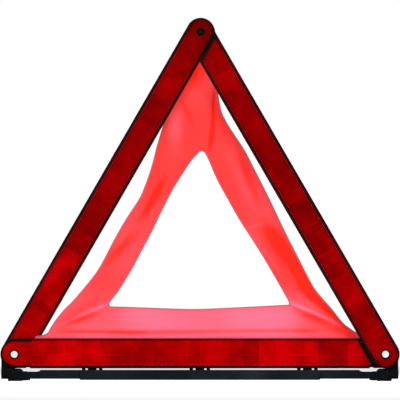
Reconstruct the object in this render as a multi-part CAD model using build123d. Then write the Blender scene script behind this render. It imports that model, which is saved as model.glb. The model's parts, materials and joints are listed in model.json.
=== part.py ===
from build123d import *
import math
import os

# Folding warning triangle.  Millimetres, +X to the viewer's right, front faces -Y, +Z up.
# Origin: on the ground, below the middle of the bottom bar.

# ---- Triangle: pivots and arms
BASE_PITCH = 413.8             # between the two pivots on the bottom bar
PIVOT_X = BASE_PITCH / 2
PIVOT_Z = 29.5
ARM_PITCH = 415.6              # along the left arm, from its pivot to the apex
LEFT_ANGLE = 60.0              # of each arm above the ground
RIGHT_ANGLE = 59.96
LEFT_TURN = math.radians(LEFT_ANGLE)
RIGHT_TURN = math.radians(RIGHT_ANGLE)
APEX_X = ARM_PITCH * math.cos(LEFT_TURN) - PIVOT_X
RISE = ARM_PITCH * math.sin(LEFT_TURN)
ARM_WIDTH = 31.6
ARM_THICK = 6.0
ARM_LAYER = 7.4                # depth of each arm's middle plane at its pivot
APEX_LAYER = 3.1               # the same at the apex: the arms lean towards each other
LEAN = math.degrees(math.asin((ARM_LAYER - APEX_LAYER) / RISE))
RIM = 2.1                      # tray wall round a reflector
FIT = 0.15                     # gap between a reflector and its tray
CUT_GAP = 0.3                  # gap between the right arm's cut end and the left arm
CUT_END = 405.5                # the right arm stops here, short of the apex
CUT_RIM = 0.3                  # extra tray wall along the curved cut
CUT_END_RIM = 3.0              # and at the square end
SOCKET_R = 4.75                # opening in the left arm's head
PIVOT_RECESS_R = 5.6           # opening in a reflector round a pivot rivet
LEFT_HOLES = [(0.0, PIVOT_RECESS_R), (ARM_PITCH, SOCKET_R)]
THROUGH = (-30.0, 30.0)        # long enough to cut anything here

# ---- Arm section, from front (-) to back (+) of its own middle plane
LENS_FACE = -2.8
LENS_BACK = -0.85
FLOOR_FRONT = -0.8
FLOOR_BACK = 0.8
BACK_WALL = 2.2
RIB_STEP = 32.0
RIB = 2.4
POCKET_START = 17.0
POCKET_COUNT = 12

# ---- Prism blocks of the reflectors
BAND = 3.2
BLOCK_STEP = 33.0
BLOCK_GAP = 0.5
BLOCK_TALL = 60.0              # longer than any reflector is wide
ARM_BLOCK_START = 26.0
BLOCK_COUNT = 11
LENS_RELIEF = 0.4              # how far the blocks stand above the band

# ---- Bottom bar
BAR_THICK = 8.0
BAR_HALF = BAR_THICK / 2
BAR_Z0 = 13.8
BAR_Z1 = 47.2
BAR_MID = (BAR_Z0 + BAR_Z1) / 2
BAR_SQUARE_X = 189.5           # the bar has its full height this far out
BAR_END_X = 205.4              # centres of its round ends
BAR_END_R = 16.1
BAR_FLOOR_FRONT = -1.5
BAR_RIM_TOP = 0.6
BAR_RIM_FOOT = 2.4
BAR_LENS_X = 187.5             # full height of the reflector ends here
BAR_LENS_END_R = 13.2          # and goes on as a round-ended tab of this half height
BAR_CUT_GAP = 3.4              # its right end stops this far short of the right arm
TAB_X = 191.0                  # beyond this the bar is only half as thick
CLAMP_X = 186.0
CLAMP_Z0 = 35.0
CLAMP_FRONT = 1.2
CLAMP_BACK = 3.7
CLAMP_RIVET_X = (-165.0, -99.0, -33.0, 33.0, 99.0, 165.0)
CLAMP_RIVET_Z = 41.0
CLAMP_HOLE_R = 1.0
CLAMP_HEAD_R = 2.2
CLAMP_HEAD = 0.65              # thickness of a clamp rivet's head
BAR_POCKET_COUNT = 11
BAR_POCKET_Y = 1.0
BAR_POCKET_Z = (22.0, 33.0)

# ---- Pivot rivets
SHANK_R = 2.2
RUN = 0.05                     # running clearance of every pin
RIVET_HEAD_R = 4.1
RIVET_HEAD = 1.0
RIVET_TAIL = 0.8
RIVET_BORE_R = 1.3
TAIL_R = 4.2
SPACER_R = 4.7

# ---- Corner brackets
BRACKET_OUT = 221.4
BRACKET_IN = 206.3
BRACKET_Z0 = 1.9
BRACKET_Z1 = 13.3
BRACKET_Y = 9.5
CHEEK_FRONT = 0.1
CHEEK_BACK = 3.95
CHEEK_IN = 194.0
CHEEK_R = 13.9
EAR_Y = (4.2, 8.0)
PIN_X = 201.4
PIN_Z = 9.2
PIN_R = 1.9
PIN_HEAD_R = 3.35
PIN_HEAD = 0.9
EAR_R = 4.4
GROOVE = 1.2
GROOVE_STEP = 3.5
GROOVE_COUNT = 3
NOTCH_X = (214.2, 218.6)
NOTCH_Z = 4.1

# ---- Swing legs
LEG_X = 201.3
LEG_Y = 18.0
LEG_LENGTH = 172.0
LEG_WIDTH = 14.0
LEG_Z0 = 1.2
LEG_Z1 = 7.0
LEG_WALL = 1.6
LEG_PIN_R = 2.0
LEG_HEAD_R = 3.8
WASHER_R = 5.6
PLATE_Z0 = 7.4
PLATE_Z1 = 10.6
PLATE_R = 8.5
PAD_WIDTH = 15.4
PAD_LENGTH = 24.0
PAD_TOP = 7.8
PAD_CORNER = 6.0
SOLE_GROOVES = 4
SOLE_STEP = 4.5

# ---- Base rail, ballast and cover
RAIL_HALF_Y = 8.0
RAIL_Z0 = 2.0
RAIL_Z1 = 12.1
RAIL_WALL = 1.5
RAIL_X = 178.5
RAMP = 3.0
TONGUE_Y = 4.0
TONGUE_Z1 = 10.2
COVER_X = 134.0
COVER_Y = 9.3
COVER_Z0 = 0.8
BALLAST_X = 128.0
BALLAST_Y = 6.2
BALLAST_Z = (2.2, 8.2)
SCREW_X = (-16.0, 15.0)
SCREW_Z = 7.0
SCREW_R = 0.9
SCREW_HEAD_R = 1.75
SCREW_TIP = -2.6

# ---- Clips between rail and bar
CLIP_X = (-120.0, 0.0, 120.0)
CLIP_Y = (-1.0, 3.4)
POST_WIDTH = 10.0
EAR_WIDTH = 4.0
EAR_SHIFT = 9.5
CLIP_TOP = 17.1
CLIP_FOOT_Z = 8.4
CLIP_SLOT = 12.2

# ---- Fabric panel
FABRIC_THICK = 0.6
FABRIC_SLOPE = 0.0345          # it runs back behind the left arm as it rises
FABRIC_FOOT_Y = 0.75           # its middle where it leaves the bar
FABRIC_BOTTOM = 37.0
FABRIC_TOP = 397.0
EYELET_R = 2.3
FABRIC_LEFT = [(-46.3, 268.5), (-55.3, 235), (-68.9, 201.6), (-90, 168.1), (-114, 123.5), (-140.8, 90),
               (-161, 67.7), (-167.8, 56.5), (-172, 49)]
FABRIC_RIGHT = [(19.5, 322), (23.4, 302), (34.7, 279.7), (55.3, 246.2), (77.8, 201.6), (99.2, 157),
                (122.1, 112.3), (138, 90), (156.4, 67.7), (170.8, 55.4), (179, 49.5)]
HOLE_LEFT = [(-17.4, 235.1), (-31.3, 212.7), (-42.9, 190.4), (-59.6, 157), (-83.5, 112.3), (-99.6, 88.5)]
HOLE_RIGHT = [(14.7, 235.1), (31.8, 201.6), (52, 168.1), (72.8, 134.7), (92.1, 101.2), (98.7, 89)]

# ---- Snap strap at the apex, in the right arm's own frame
STUD_X = (PIVOT_X - APEX_X) * math.cos(RIGHT_TURN) + RISE * math.sin(RIGHT_TURN)
STUD_Z = (PIVOT_X - APEX_X) * math.sin(RIGHT_TURN) - RISE * math.cos(RIGHT_TURN)
STRAP_THICK = 1.2
STRAP_START = 348.0
STRAP_BEND = 384.0
STRAP_RISE = 9.1
STRAP_BASE = 0.9
STRAP_HALF = 5.0
STRAP_FILLET = 3.0
HEAD_PLATE_X = 396.5           # the plate begins here
HEAD_PLATE_R = 16.1
HEAD_NECK = 13.5               # its half width there
STUD_R = 2.7
STUD_PLAY = 0.25
STUD_FRONT = 4.4
STUD_LEAD = 0.7
BUSH_FIT = 0.25
PEG_R = 2.0
PEG_BACK = 17.4
CAP_R = 4.4
CAP_Y = (16.1, 17.9)
STRAP_RIVET_X = (355.0, 373.0)
STRAP_SHANK_R = 1.0
STRAP_HEAD_R = 2.1


# ---------------------------------------------------------------- helpers
def block(x, y, z):
    """Box between pairs of limits."""
    size = [high - low for low, high in (x, y, z)]
    middle = [(high + low) / 2 for low, high in (x, y, z)]
    return Pos(*middle) * Box(*size)


def rod_y(radius, y, at_x=0.0, at_z=0.0):
    """Round bar along Y between two depths."""
    return Pos(at_x, (y[0] + y[1]) / 2, at_z) * Rot(90, 0, 0) * Cylinder(radius, y[1] - y[0])


def rod_z(radius, z, at_x=0.0, at_y=0.0):
    """Upright round bar between two heights."""
    return Pos(at_x, at_y, (z[0] + z[1]) / 2) * Cylinder(radius, z[1] - z[0])


def slab(outline, y):
    """An outline drawn in X and Z, made solid between two depths along Y."""
    return Plane.XZ.offset(-y[1]) * extrude(outline, y[1] - y[0])


def rounded(solid, axis, size):
    """Chamfer the rims at both ends of a solid along an axis."""
    faces = solid.faces().sort_by(axis)
    return chamfer(faces[0].edges() + faces[-1].edges(), size)


def mirrored(solid):
    return mirror(solid, Plane.YZ)


# ---------------------------------------------------------------- places of the arms
def arm_place(side):
    """From an arm's own frame (X along it, -Y front) to the triangle: side -1 left, 1 right."""
    turn = -LEFT_ANGLE if side < 0 else RIGHT_ANGLE - 180
    pivot = Pos(side * PIVOT_X, -side * ARM_LAYER, PIVOT_Z)
    return pivot * Rot(-side * LEAN, 0, 0) * Rot(0, turn, 0)


def pivot_place(side):
    """Frame of a pivot's axis: Y along the axis, origin in the arm's middle plane."""
    return Pos(side * PIVOT_X, -side * ARM_LAYER, PIVOT_Z) * Rot(-side * LEAN, 0, 0)


def pivot_hole(side, radius):
    """Tool for every hole that a pivot rivet passes through."""
    return pivot_place(side) * rod_y(radius, THROUGH)


# ---------------------------------------------------------------- outlines, in X and Z
def left_outline(inset):
    return Pos(ARM_PITCH / 2, 0) * SlotCenterToCenter(ARM_PITCH, ARM_WIDTH - 2 * inset)


def right_outline(inset):
    """The same arm, with its top end cut away round the left arm's head."""
    rim = inset + CUT_RIM if inset else 0
    end_rim = inset + CUT_END_RIM if inset else 0
    head = Pos(STUD_X, STUD_Z) * Rot(0, 0, LEFT_ANGLE + RIGHT_ANGLE) * left_outline(-CUT_GAP - rim)
    end = Pos(CUT_END - end_rim, 0) * Rectangle(ARM_PITCH, ARM_PITCH, align=(Align.MIN, Align.CENTER))
    return left_outline(inset) - head - end


def bar_outline():
    middle = Pos(0, BAR_MID) * Rectangle(2 * BAR_SQUARE_X, BAR_Z1 - BAR_Z0)
    return middle + Pos(0, BAR_Z1 - BAR_END_R) * SlotCenterToCenter(2 * BAR_END_X, 2 * BAR_END_R)


def bar_pocket_outline(inset):
    """Full height along the bar, then a lower round-ended tab over each pivot."""
    top = BAR_Z1 - BAR_RIM_TOP - inset
    foot = BAR_Z0 + BAR_RIM_FOOT + inset
    field = Pos(0, (top + foot) / 2) * Rectangle(2 * BAR_LENS_X - 2 * inset, top - foot)
    length = 2 * PIVOT_X
    return field + Pos(0, BAR_MID) * SlotCenterToCenter(length, 2 * BAR_LENS_END_R - 2 * inset)


def bar_lens_outline(inset):
    """The same, cut off along the right arm's inner edge."""
    arm = Pos(PIVOT_X, PIVOT_Z) * Rot(0, 0, 180 - RIGHT_ANGLE) * left_outline(-BAR_CUT_GAP - inset)
    return bar_pocket_outline(inset) - arm


# ---------------------------------------------------------------- reflectors
def reflector(outline, inset, y, start):
    """Red prism lens: a plain band round raised blocks of prisms."""
    face, base, back = y
    lens = slab(outline(inset), (base, back))
    field = slab(outline(inset + BAND), (face, base))
    for i in range(BLOCK_COUNT + 1):
        x = start + i * BLOCK_STEP
        field -= block((x - BLOCK_GAP / 2, x + BLOCK_GAP / 2), (face - 1, base), (-BLOCK_TALL, BLOCK_TALL))
    return lens + field


def arm_reflector(outline, holes):
    depths = (LENS_FACE, LENS_FACE + LENS_RELIEF, LENS_BACK)
    lens = reflector(outline, RIM + FIT, depths, ARM_BLOCK_START)
    for x, radius in holes:
        lens -= rod_y(radius, THROUGH, at_x=x)
    return lens


def bar_reflector():
    face = -BAR_HALF + 0.2
    depths = (face, face + LENS_RELIEF, BAR_FLOOR_FRONT - 0.05)
    lens = reflector(bar_lens_outline, FIT, depths, -BLOCK_COUNT * BLOCK_STEP / 2)
    return lens - pivot_hole(-1, PIVOT_RECESS_R)


# ---------------------------------------------------------------- arm trays
def arm_tray(outline, pockets):
    """Black tray: a front pocket for the reflector, ribbed pockets behind."""
    tray = rounded(slab(outline(0), (-ARM_THICK / 2, ARM_THICK / 2)), Axis.Y, 0.4)
    tray -= slab(outline(RIM), (-ARM_THICK, FLOOR_FRONT))
    half = ARM_WIDTH / 2 - BACK_WALL
    for x0, x1 in pockets:
        tray -= block((x0, x1), (FLOOR_BACK, ARM_THICK), (-half, half))
    tray -= rod_y(SHANK_R + RUN, THROUGH)
    return tray


def rib_pockets(count):
    starts = [POCKET_START + i * RIB_STEP for i in range(count)]
    return [(x, x + RIB_STEP - RIB) for x in starts]


def left_tray():
    tray = arm_tray(left_outline, rib_pockets(POCKET_COUNT))
    return tray - rod_y(SOCKET_R - BUSH_FIT, THROUGH, at_x=ARM_PITCH)


def right_tray():
    strap_pocket = (STRAP_START - 3.0, STRAP_BEND + 4.0)
    tray = arm_tray(right_outline, rib_pockets(POCKET_COUNT - 2) + [strap_pocket])
    for x in STRAP_RIVET_X:
        tray -= rod_y(STRAP_SHANK_R, (-0.2, FLOOR_BACK + 0.1), at_x=x)
    return tray


def socket_bush():
    """Ring in the left arm's head that the stud snaps into."""
    outside = SOCKET_R - BUSH_FIT - RUN
    bush = rod_y(outside, (FLOOR_FRONT, ARM_THICK / 2 - 0.2), at_x=ARM_PITCH)
    return bush - rod_y(STUD_R + STUD_PLAY, THROUGH, at_x=ARM_PITCH)


# ---------------------------------------------------------------- snap strap
def snap_strap():
    """Springy strap riveted in the right arm, with a plate that backs the left arm's head."""
    half = STRAP_THICK / 2
    low = STRAP_BASE + half
    high = STRAP_BASE + STRAP_RISE + half
    jog = (STRAP_BEND, low), (STRAP_BEND + STRAP_RISE, high)
    line = FilletPolyline((STRAP_START, low), *jog, (STUD_X, high), radius=STRAP_FILLET)
    ribbon = trace(line, STRAP_THICK)
    strap = Pos(0, 0, -STRAP_HALF) * extrude(ribbon, 2 * STRAP_HALF)
    neck = Pos(HEAD_PLATE_X, 0) * Rectangle(1, 2 * HEAD_NECK)
    disc = Pos(STUD_X, STUD_Z) * Circle(HEAD_PLATE_R)
    strap += slab(make_hull(neck.edges() + disc.edges()), (high - half, high + half))
    stud = rod_y(STUD_R, (STUD_FRONT, high), at_x=STUD_X, at_z=STUD_Z)
    strap += chamfer(stud.edges().sort_by(Axis.Y)[0], STUD_LEAD)
    strap += rod_y(PEG_R, (high, PEG_BACK), at_x=STUD_X, at_z=STUD_Z)
    for x in STRAP_RIVET_X:
        strap -= rod_y(STRAP_SHANK_R + RUN, (0, ARM_THICK), at_x=x)
    return strap


def strap_rivet(x):
    shank = rod_y(STRAP_SHANK_R, (-0.1, STRAP_BASE + STRAP_THICK + 0.1), at_x=x)
    head_y = (STRAP_BASE + STRAP_THICK + 0.02, ARM_THICK / 2 - 0.1)
    return shank + rod_y(STRAP_HEAD_R, head_y, at_x=x)


def peg_cap():
    cap = rod_y(CAP_R, CAP_Y, at_x=STUD_X, at_z=STUD_Z)
    cap = chamfer(cap.edges().sort_by(Axis.Y)[-1], 0.6)
    return cap - rod_y(PEG_R, (CAP_Y[0] - 1, PEG_BACK), at_x=STUD_X, at_z=STUD_Z)


# ---------------------------------------------------------------- bottom bar
def bar_tray():
    tray = rounded(slab(bar_outline(), (-BAR_HALF, BAR_HALF)), Axis.Y, 0.5)
    tray -= slab(bar_pocket_outline(0), (-BAR_THICK, BAR_FLOOR_FRONT))
    for side in (-1, 1):
        outer = sorted((side * TAB_X, side * BASE_PITCH))
        tray -= block(outer, (0, BAR_THICK), (0, 2 * BAR_Z1))
        tray -= pivot_hole(side, SHANK_R + RUN)
    tray -= block((-CLAMP_X, CLAMP_X), (0, BAR_THICK), (CLAMP_Z0, BAR_Z1 + 5))
    step = 2 * CLAMP_X / BAR_POCKET_COUNT
    for i in range(BAR_POCKET_COUNT):
        x = -CLAMP_X + i * step
        tray -= block((x + RIB, x + step), (BAR_POCKET_Y, BAR_THICK), BAR_POCKET_Z)
    for x in CLAMP_RIVET_X:
        tray -= rod_y(CLAMP_HOLE_R, (-1.0, 0.1), at_x=x, at_z=CLAMP_RIVET_Z)
    for x in CLIP_X:
        tray -= clip_slot(x, (BAR_Z0 - 3, CLIP_TOP + 0.2))
    return tray


def clip_slot(x, z):
    """Tool for the slot a rail clip passes through."""
    y = (CLIP_Y[0] - 0.1, CLIP_Y[1] + 0.1)
    return block((x - CLIP_SLOT, x + CLIP_SLOT), y, z)


def clamp_strip():
    half = CLAMP_X - 0.3
    strip = block((-half, half), (CLAMP_FRONT, CLAMP_BACK), (CLAMP_Z0 + 0.2, BAR_Z1 - 0.4))
    strip = rounded(strip, Axis.Y, 0.3)
    sink = (CLAMP_BACK - CLAMP_HEAD - 0.15, BAR_THICK)
    for x in CLAMP_RIVET_X:
        strip -= rod_y(CLAMP_HOLE_R + RUN, (0, BAR_THICK), at_x=x, at_z=CLAMP_RIVET_Z)
        strip -= rod_y(CLAMP_HEAD_R + 0.1, sink, at_x=x, at_z=CLAMP_RIVET_Z)
    return strip


def clamp_rivet(x):
    back = CLAMP_BACK - 0.1
    shank = rod_y(CLAMP_HOLE_R - RUN, (-0.9, back - 0.1), at_x=x, at_z=CLAMP_RIVET_Z)
    return shank + rod_y(CLAMP_HEAD_R, (back - CLAMP_HEAD, back), at_x=x, at_z=CLAMP_RIVET_Z)


# ---------------------------------------------------------------- pivot rivets and spacers
def hollow_rivet(head_y, tail_y):
    """Tubular rivet on its own axis: domed head in front, rolled tail behind."""
    head = rod_y(RIVET_HEAD_R, (head_y, head_y + RIVET_HEAD))
    head = chamfer(head.edges().sort_by(Axis.Y)[0], 0.45)
    shank = rod_y(SHANK_R, (head_y + RIVET_HEAD / 2, tail_y))
    tail = rod_y(TAIL_R - 0.2, (tail_y - RIVET_TAIL, tail_y))
    return head + shank + tail - rod_y(RIVET_BORE_R, (head_y + 0.6, tail_y + 1))


def left_rivet():
    """Bar in front, left arm behind: the tail stands on the arm's back."""
    head_y = BAR_FLOOR_FRONT - RIVET_HEAD - RUN - ARM_LAYER
    return pivot_place(-1) * hollow_rivet(head_y, ARM_THICK / 2 + 0.9)


def right_rivet():
    """Right arm in front, bar behind: the tail is sunk in the bracket's cheek."""
    head_y = FLOOR_FRONT - RIVET_HEAD - RUN
    return pivot_place(1) * hollow_rivet(head_y, ARM_LAYER + CHEEK_BACK - 0.15)


def spacer(side):
    """Ring round the rivet where the arm's plate and the bar's plate are apart."""
    if side < 0:
        gap = (CHEEK_BACK - ARM_LAYER + 0.12, FLOOR_FRONT - 0.05)
    else:
        gap = (ARM_THICK / 2 + 0.05, ARM_LAYER + BAR_FLOOR_FRONT - 0.1)
    return pivot_place(side) * (rod_y(SPACER_R, gap) - rod_y(SHANK_R + RUN, THROUGH))


# ---------------------------------------------------------------- corner bracket, left
def cheek():
    tall = PIVOT_Z - BRACKET_Z0
    width = BRACKET_OUT - CHEEK_IN
    body = Pos(-BRACKET_OUT + width / 2, BRACKET_Z0 + tall / 2) * Rectangle(width, tall)
    top = Pos(-PIVOT_X, PIVOT_Z) * Circle(CHEEK_R)
    plate = slab(make_hull(body.edges() + top.edges()), (CHEEK_FRONT, CHEEK_BACK))
    return plate - block((-BRACKET_IN, 0), THROUGH, (0, BRACKET_Z1 + 0.8))


def cross_foot(front):
    """Plate over a leg's eye; front is -1 or 1."""
    width = LEG_X + PLATE_R - BRACKET_IN
    near = Pos(-BRACKET_IN - width / 2, front * (BRACKET_Y - 0.5)) * Rectangle(width, 2)
    eye = Pos(-LEG_X, front * LEG_Y) * Circle(PLATE_R)
    plan = make_hull(near.edges() + eye.edges())
    return Pos(0, 0, PLATE_Z0) * extrude(plan, PLATE_Z1 - PLATE_Z0)


def ear(y):
    boss = Pos(-PIN_X, PIN_Z) * Circle(EAR_R)
    root = Pos(-BRACKET_IN - 0.5, PIN_Z) * Rectangle(3, 2 * EAR_R)
    return slab(make_hull(boss.edges() + root.edges()), y)


def bracket():
    foot = block((-BRACKET_OUT, -BRACKET_IN), (-BRACKET_Y, BRACKET_Y), (BRACKET_Z0, BRACKET_Z1))
    foot = chamfer(foot.edges().filter_by(Axis.Z), 1.2)
    foot -= block((-NOTCH_X[1], -NOTCH_X[0]), THROUGH, (0, NOTCH_Z))
    for i in range(GROOVE_COUNT):
        x = -BRACKET_OUT + GROOVE_STEP * (i + 1)
        for y in (-BRACKET_Y, BRACKET_Y):
            foot -= block((x, x + GROOVE), (y - 0.8, y + 0.8), (NOTCH_Z, BRACKET_Z1 + 1))
    body = foot + cheek()
    for front in (-1, 1):
        body += cross_foot(front)
        body += ear(sorted((front * EAR_Y[0], front * EAR_Y[1])))
        body -= rod_z(LEG_PIN_R + RUN, (0, BAR_Z0), at_x=-LEG_X, at_y=front * LEG_Y)
    pin_reliefs = [
        (PIN_R + RUN, (-BRACKET_Y, BRACKET_Y)),
        (EAR_R, (-EAR_Y[0], EAR_Y[0])),
        (PIN_HEAD_R + 0.2, (-BRACKET_Y - 0.1, -EAR_Y[1])),
        (PIN_R + 0.2, (EAR_Y[1], BRACKET_Y)),
    ]
    for radius, y in pin_reliefs:
        body -= rod_y(radius, y, at_x=-PIN_X, at_z=PIN_Z)
    return body


def left_bracket():
    return bracket() - pivot_hole(-1, SHANK_R + RUN)


def right_bracket():
    body = mirrored(bracket()) - pivot_hole(1, SHANK_R + RUN)
    sink = pivot_place(1) * rod_y(TAIL_R, (ARM_LAYER + CHEEK_BACK - RIVET_TAIL - 0.2, THROUGH[1]))
    return body - sink


def rail_pin(side):
    """Cross pin with a stepped head on the front ear."""
    x = side * PIN_X
    ear_face = EAR_Y[1]
    pin = rod_y(PIN_R, (-ear_face - PIN_HEAD - 0.4, ear_face + PIN_HEAD), at_x=x, at_z=PIN_Z)
    return pin + rod_y(PIN_HEAD_R, (-ear_face - PIN_HEAD, -ear_face), at_x=x, at_z=PIN_Z)


# ---------------------------------------------------------------- legs, in a frame with the eye at the origin
def leg_bar():
    """Pressed channel that points to -Y, open below."""
    plan = Pos(0, -LEG_LENGTH / 2) * Rot(0, 0, 90) * SlotCenterToCenter(LEG_LENGTH, LEG_WIDTH)
    bar = Pos(0, 0, LEG_Z0) * extrude(plan, LEG_Z1 - LEG_Z0)
    bar = chamfer(bar.faces().sort_by(Axis.Z)[-1].edges(), 0.7)
    half = LEG_WIDTH / 2 - LEG_WALL
    bar -= block((-half, half), (-LEG_LENGTH + 2, -9), (0, LEG_Z1 - LEG_WALL))
    bead = (-LEG_LENGTH + PAD_LENGTH, -2 * PLATE_R)
    bar += block((-2, 2), bead, (LEG_Z1 - 0.5, LEG_Z1 + 0.3))
    return bar - rod_z(LEG_PIN_R + RUN, (0, BAR_Z0))


def foot_pad():
    """Rubber shoe on the tip of a leg, with a grooved sole."""
    tip = LEG_LENGTH + LEG_WIDTH / 2
    shoe = block((-PAD_WIDTH / 2, PAD_WIDTH / 2), (-tip - 1, -tip + PAD_LENGTH), (0, PAD_TOP))
    shoe = fillet(shoe.edges().filter_by(Axis.Z).group_by(Axis.Y)[0], PAD_CORNER)
    shoe = chamfer(shoe.faces().sort_by(Axis.Z)[-1].edges(), 0.5)
    plan = Pos(0, -LEG_LENGTH / 2) * Rot(0, 0, 90) * SlotCenterToCenter(LEG_LENGTH, LEG_WIDTH + 0.04)
    shoe -= Pos(0, 0, LEG_Z0 - 0.02) * extrude(plan, LEG_Z1 - LEG_Z0 + 0.04)
    for i in range(SOLE_GROOVES):
        y = -tip + 4 + i * SOLE_STEP
        shoe -= block(THROUGH, (y, y + 1.0), (-1, 0.5))
    return shoe


def leg_places():
    """Name and place of each leg: the rear ones are turned round."""
    for side_name, side in (("left", -1), ("right", 1)):
        for end_name, turn in (("front", 0), ("rear", 180)):
            y = -LEG_Y if turn == 0 else LEG_Y
            yield f"{end_name}_{side_name}", Pos(side * LEG_X, y, 0) * Rot(0, 0, turn)


def leg_rivet():
    shank = rod_z(LEG_PIN_R, (0.6, PLATE_Z1 + 0.5))
    head = rod_z(LEG_HEAD_R, (PLATE_Z1 + 0.02, PLATE_Z1 + 1.2))
    head = chamfer(head.edges().sort_by(Axis.Z)[-1], 0.5)
    return shank + head + rod_z(LEG_HEAD_R - 0.2, (0.5, LEG_Z0 - RUN))


def leg_washer():
    return rod_z(WASHER_R, (LEG_Z1 + 0.04, PLATE_Z0 - 0.04)) - rod_z(LEG_PIN_R + RUN, (0, BAR_Z0))


# ---------------------------------------------------------------- rail, ballast, cover, clips
def base_rail():
    """Channel open below, with a flat eye at each end."""
    rail = block((-RAIL_X, RAIL_X), (-RAIL_HALF_Y, RAIL_HALF_Y), (RAIL_Z0, RAIL_Z1))
    rail = chamfer(rail.faces().sort_by(Axis.Z)[-1].edges(), 0.8)
    inner = RAIL_HALF_Y - RAIL_WALL
    rail -= block((-RAIL_X + 3, RAIL_X - 3), (-inner, inner), (0, RAIL_Z1 - RAIL_WALL))
    for side in (-1, 1):
        reach = sorted((side * (RAIL_X - 1), side * PIN_X))
        tongue = block(reach, (-TONGUE_Y, TONGUE_Y), (RAIL_Z0, TONGUE_Z1))
        eye = rod_y(EAR_R - 0.3, (-TONGUE_Y, TONGUE_Y), at_x=side * PIN_X, at_z=PIN_Z)
        near = side * (RAIL_X - 0.5)
        far = side * (RAIL_X + RAMP)
        low = TONGUE_Z1 - 1
        corners = [(near, low), (near, RAIL_Z1 - 1), (far, TONGUE_Z1), (far, low)]
        ramp = Plane.XZ * Polygon(*corners, align=None)
        rail += tongue + eye + extrude(ramp, TONGUE_Y, both=True)
        rail -= rod_y(PIN_R + RUN, THROUGH, at_x=side * PIN_X, at_z=PIN_Z)
    for x in CLIP_X:
        rail -= clip_slot(x, (CLIP_FOOT_Z, BAR_Z1))
    for x in SCREW_X:
        rail -= screw_hole(x)
    return rail


def screw_hole(x):
    """Tool for the hole a cover screw passes through, from the front to the middle."""
    return rod_y(SCREW_R + 0.15, (THROUGH[0], 0), at_x=x, at_z=SCREW_Z)


def ballast_bar():
    bar = block((-BALLAST_X, BALLAST_X), (-BALLAST_Y, BALLAST_Y), BALLAST_Z)
    bar = chamfer(bar.edges(), 0.6)
    for x in SCREW_X:
        bar -= rod_y(SCREW_R + RUN, (THROUGH[0], SCREW_TIP + 0.2), at_x=x, at_z=SCREW_Z)
    return bar


def ballast_cover():
    """Channel open above that closes the rail's middle from below."""
    cover = block((-COVER_X, COVER_X), (-COVER_Y, COVER_Y), (COVER_Z0, RAIL_Z1 - 1.0))
    cover = chamfer(cover.edges().filter_by(Axis.Z) + cover.faces().sort_by(Axis.Z)[0].edges(), 0.5)
    inner = RAIL_HALF_Y + 0.05
    cover -= block((-COVER_X - 1, COVER_X + 1), (-inner, inner), (RAIL_Z0 - 0.05, BAR_Z1))
    for x in SCREW_X:
        cover -= screw_hole(x)
    return cover


def cover_screw(x):
    head = rod_y(SCREW_HEAD_R, (-COVER_Y - 0.9, -COVER_Y - 0.02), at_x=x, at_z=SCREW_Z)
    slot = block((x - 2, x + 2), (-COVER_Y - 1, -COVER_Y - 0.5), (SCREW_Z - 0.25, SCREW_Z + 0.25))
    return head - slot + rod_y(SCREW_R, (-COVER_Y - 0.3, SCREW_TIP), at_x=x, at_z=SCREW_Z)


def rail_clip(x):
    """Moulded clip: a foot under the rail's top, a post and two ears up into the bar."""
    foot_top = RAIL_Z1 - RAIL_WALL - 0.05
    foot_half = EAR_SHIFT + EAR_WIDTH / 2
    foot_y = (CLIP_Y[0] - 2, CLIP_Y[1] + 2)
    clip = block((x - foot_half, x + foot_half), foot_y, (CLIP_FOOT_Z, foot_top))
    half = POST_WIDTH / 2
    clip += block((x - half, x + half), CLIP_Y, (foot_top - 1, CLIP_TOP))
    for shift in (-EAR_SHIFT, EAR_SHIFT):
        middle = x + shift
        ear_x = (middle - EAR_WIDTH / 2, middle + EAR_WIDTH / 2)
        clip += block(ear_x, CLIP_Y, (foot_top - 1, CLIP_TOP - 0.6))
    return clip


# ---------------------------------------------------------------- fabric
def fabric_outline():
    """The panel laid out in X and Z, with its triangular hole."""
    left_side = Spline((-8, FABRIC_TOP - 3), *FABRIC_LEFT)
    right_side = Spline((8, FABRIC_TOP - 3), *FABRIC_RIGHT)
    top = ThreePointArc((-8, FABRIC_TOP - 3), (0, FABRIC_TOP + 2), (8, FABRIC_TOP - 3))
    foot = CLAMP_X - 1.0
    left_foot = [FABRIC_LEFT[-1], (-foot, BAR_Z1), (-foot, FABRIC_BOTTOM)]
    right_foot = [(foot, FABRIC_BOTTOM), (foot, BAR_Z1), FABRIC_RIGHT[-1]]
    hem = Polyline(*left_foot, *right_foot)
    panel = make_face(left_side.edges() + hem.edges() + right_side.edges() + top.edges())
    hole_left = Spline((-3, 254), *HOLE_LEFT)
    hole_right = Spline((5.5, 254), *HOLE_RIGHT)
    hole_foot = Spline((-96.5, 82.4), (-77.8, 81.7), (-33, 80), (-1, 79.5), (45, 81.4), (95.5, 84))
    corners = [
        ThreePointArc((-3, 254), (1, 256.6), (5.5, 254)),
        ThreePointArc(HOLE_LEFT[-1], (-101, 84.5), (-96.5, 82.4)),
        ThreePointArc(HOLE_RIGHT[-1], (99.6, 85.7), (95.5, 84)),
    ]
    hole = make_face([hole_left, hole_right, hole_foot] + corners)
    return panel - hole


def fabric():
    """Thin panel: drawn upright, then sheared back so that it passes behind the left arm."""
    half = FABRIC_THICK / 2
    sheet = slab(fabric_outline(), (-half, half))
    for x in CLAMP_RIVET_X:
        sheet -= rod_y(1.1, (-5, 5), at_x=x, at_z=CLAMP_RIVET_Z)
    sheet -= rod_y(EYELET_R, (-5, 5), at_x=APEX_X, at_z=PIVOT_Z + RISE)
    turn = -math.degrees(math.atan(FABRIC_SLOPE))
    return Pos(0, FABRIC_FOOT_Y, BAR_Z1) * Rot(turn, 0, 0) * Pos(0, 0, -BAR_Z1) * sheet


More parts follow.
